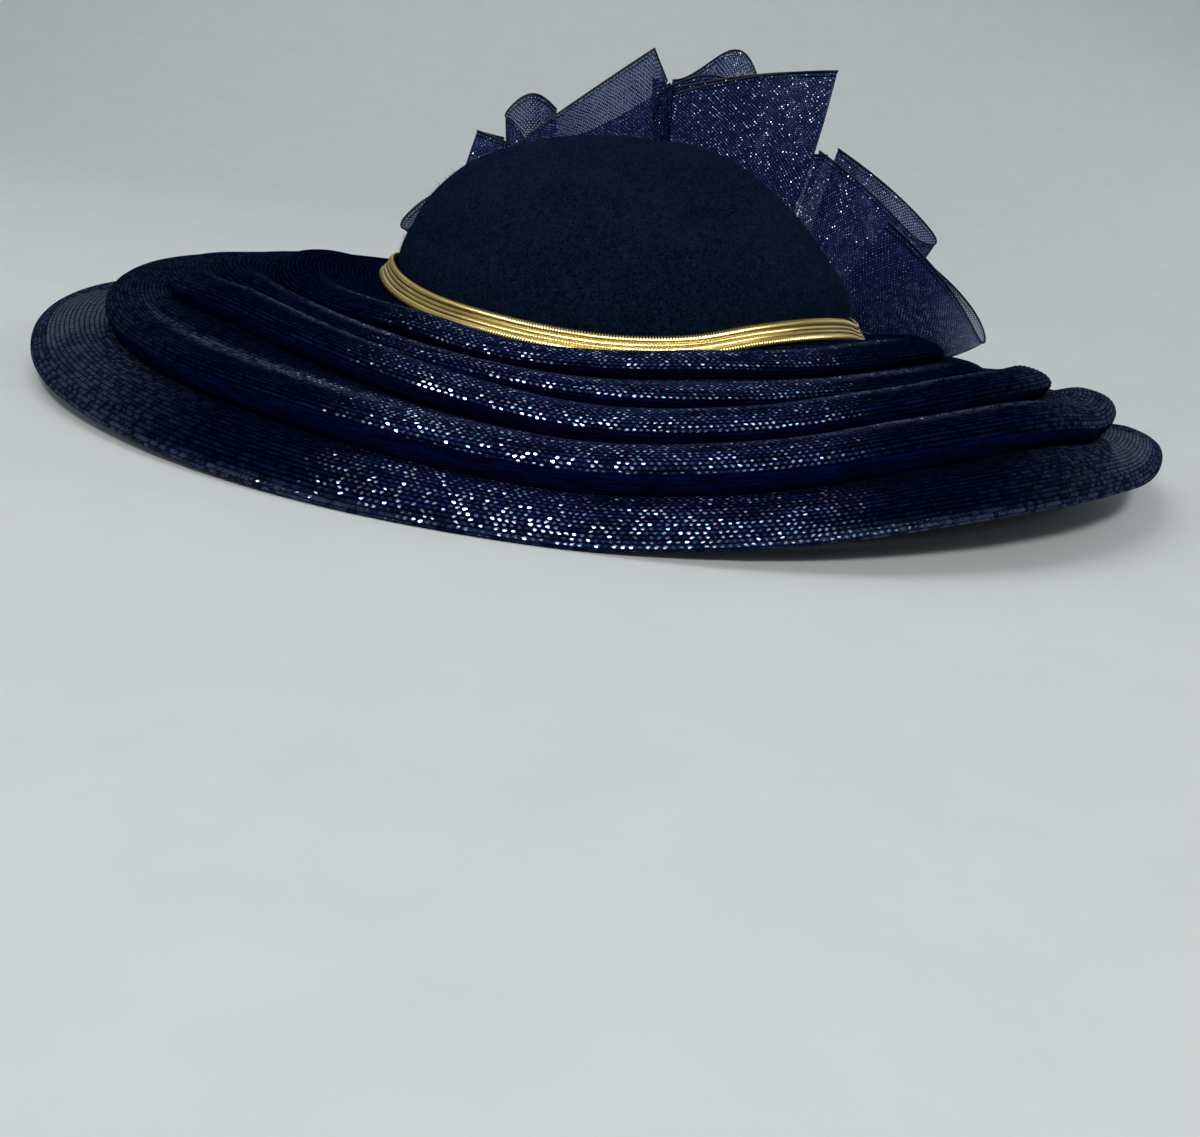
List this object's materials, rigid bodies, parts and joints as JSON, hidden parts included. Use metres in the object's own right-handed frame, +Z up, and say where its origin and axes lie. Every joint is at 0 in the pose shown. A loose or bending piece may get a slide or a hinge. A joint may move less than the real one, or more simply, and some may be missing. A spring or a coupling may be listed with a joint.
{
  "type": "wide-brim dress hat",
  "caption": "Domed felt hat with a wide brim of fine braid rolled into tiers, a gold braid round the crown and a row of stiff net ribbon loops behind it.",
  "frame": {"origin": "on the plane the brim edge rests on, under the middle of the brim", "axes": "+Z up through the crown; the front of the hat looks towards -Y, the bow stands towards +Y; +X is to the right seen from the front"},
  "size_m": [0.3844, 0.3912, 0.1336],
  "materials": {
    "felt": "matt wool felt, very dark teal navy",
    "braid": "translucent fine braid, glossy threads, dark navy",
    "gold": "metallic gold cord braid",
    "net": "translucent stiff net ribbon with glossy threads, navy"
  },
  "bodies": {
    "root": {"felt_body": "felt", "braid_brim": "braid", "gold_braid": "gold", "bow_base": "net", "bow_loop_1": "net", "bow_loop_2": "net", "bow_loop_3": "net", "bow_loop_4": "net", "bow_loop_5": "net", "bow_loop_6": "net", "bow_loop_7": "net", "bow_loop_8": "net", "ribbon_end": "net"}
  },
  "joints": []
}
